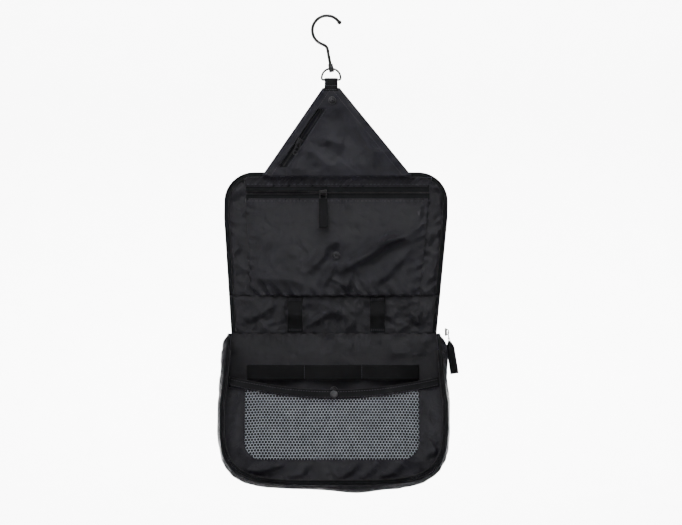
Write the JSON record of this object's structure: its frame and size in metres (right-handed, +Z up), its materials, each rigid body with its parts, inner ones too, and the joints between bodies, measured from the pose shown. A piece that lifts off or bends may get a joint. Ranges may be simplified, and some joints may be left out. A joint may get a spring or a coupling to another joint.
{
  "type": "hanging toiletry bag",
  "caption": "Fold-out hanging wash bag with a swivel hook on a ring, zipped flap and lid, toothbrush loops and an open-topped body with a mesh front pocket.",
  "frame": {"origin": "inner top of the hook, where the rail that carries the bag touches it", "axes": "+Z up along the hanging bag, -Y the open front, +X the right side seen from the front"},
  "size_m": [0.2716, 0.075, 0.5425],
  "materials": {
    "black_metal": "black powder-coated wire and die-cast metal, satin",
    "shell_nylon": "black plain-woven nylon with a satin sheen and soft wrinkles",
    "lining_nylon": "thin black nylon lining, satin",
    "webbing": "matt black ribbed webbing and binding tape",
    "elastic": "matt black woven elastic",
    "zip_tape": "matt black herringbone zip tape",
    "zip_coil": "black nylon coil teeth",
    "mesh_net": "light grey hexagonal netting",
    "snap_metal": "dark grey enamelled press studs"
  },
  "bodies": {
    "hook": {"hook": "black_metal", "hook_tip": "black_metal", "shank_rivet": "black_metal"},
    "swivel": {"swivel_stirrup": "black_metal"},
    "ring": {"d_ring": "black_metal"},
    "flap": {"webbing_loop": "webbing", "flap_front": "shell_nylon", "flap_back": "shell_nylon", "flap_zip_tape": "zip_tape", "flap_zip_coil": "zip_coil", "flap_snap_stud": "snap_metal", "flap_snap_cap": "snap_metal"},
    "flap_slider": {"flap_zip_slider": "black_metal"},
    "flap_puller": {"flap_zip_puller": "black_metal"},
    "lid": {"lid_lining": "lining_nylon", "lid_outer": "shell_nylon", "lid_edge_zip_tape": "zip_tape", "lid_piping": "webbing", "lid_pocket_header": "shell_nylon", "lid_zip_tape": "zip_tape", "lid_pocket_panel": "shell_nylon", "lid_zip_coil": "zip_coil", "lid_snap_socket": "snap_metal"},
    "lid_slider": {"lid_zip_slider": "black_metal"},
    "lid_puller": {"lid_zip_puller": "black_metal", "lid_pull_tab": "webbing"},
    "top": {"top_lining": "lining_nylon", "top_panel": "shell_nylon", "top_zip_tape_left": "zip_tape", "top_zip_tape_right": "zip_tape", "toothbrush_loop_left": "elastic", "toothbrush_loop_right": "elastic"},
    "body": {"back_lining": "lining_nylon", "back_panel": "shell_nylon", "gusset": "shell_nylon", "body_zip_coil": "zip_coil", "body_piping": "webbing", "front_panel": "shell_nylon", "mesh_window": "mesh_net", "front_binding": "webbing", "front_snap_cap": "snap_metal", "front_snap_stud": "snap_metal", "elastic_band": "elastic", "back_snap_socket": "snap_metal"},
    "main_slider": {"main_zip_slider": "black_metal"},
    "main_puller": {"main_zip_puller": "black_metal", "main_pull_tab": "webbing"}
  },
  "joints": [
    {"name": "hook_swivel", "type": "hinge", "parent": "hook", "child": "swivel", "pos_m": [0.0048, 0, -0.0589], "axis": [-0.1908, 0, 0.9816], "continuous": true},
    {"name": "ring_swing", "type": "hinge", "parent": "swivel", "child": "ring", "pos_m": [0.0048, 0, -0.0589], "axis": [1, 0, 0], "range_deg": [-75, 75]},
    {"name": "loop_swing", "type": "hinge", "parent": "ring", "child": "flap", "pos_m": [0.0048, 0, -0.0719], "axis": [1, 0, 0], "range_deg": [-75, 75]},
    {"name": "flap_fold", "type": "hinge", "parent": "flap", "child": "lid", "pos_m": [0.008, -0.003, -0.184], "axis": [-1, 0, 0], "range_deg": [0, 170]},
    {"name": "flap_zip", "type": "slide", "parent": "flap", "child": "flap_slider", "axis": [-0.5532, 0, -0.8331], "range_m": [-0.036, 0.024]},
    {"name": "flap_puller_swing", "type": "hinge", "parent": "flap_slider", "child": "flap_puller", "pos_m": [-0.03207, -0.00535, -0.14375], "axis": [0.8331, 0, -0.5532], "range_deg": [-165, 0]},
    {"name": "lid_zip", "type": "slide", "parent": "lid", "child": "lid_slider", "axis": [1, 0, 0], "range_m": [-0.082, 0.112]},
    {"name": "lid_puller_swing", "type": "hinge", "parent": "lid_slider", "child": "lid_puller", "pos_m": [-0.0046, -0.0014, -0.2014], "axis": [-1, 0, 0], "range_deg": [0, 165]},
    {"name": "lid_fold", "type": "hinge", "parent": "lid", "child": "top", "pos_m": [0.008, 0.0023, -0.3198], "axis": [1, 0, 0], "range_deg": [-38, 0]},
    {"name": "top_fold", "type": "hinge", "parent": "top", "child": "body", "pos_m": [0.008, 0.0023, -0.3635], "axis": [1, 0, 0], "range_deg": [-115, 0]},
    {"name": "main_zip", "type": "slide", "parent": "body", "child": "main_slider", "axis": [0, -0.6862, -0.7274], "range_m": [0, 0.03]},
    {"name": "main_puller_swing", "type": "hinge", "parent": "main_slider", "child": "main_puller", "pos_m": [0.13875, -0.006, -0.3615], "axis": [0, -1, 0], "range_deg": [0, 100]}
  ]
}
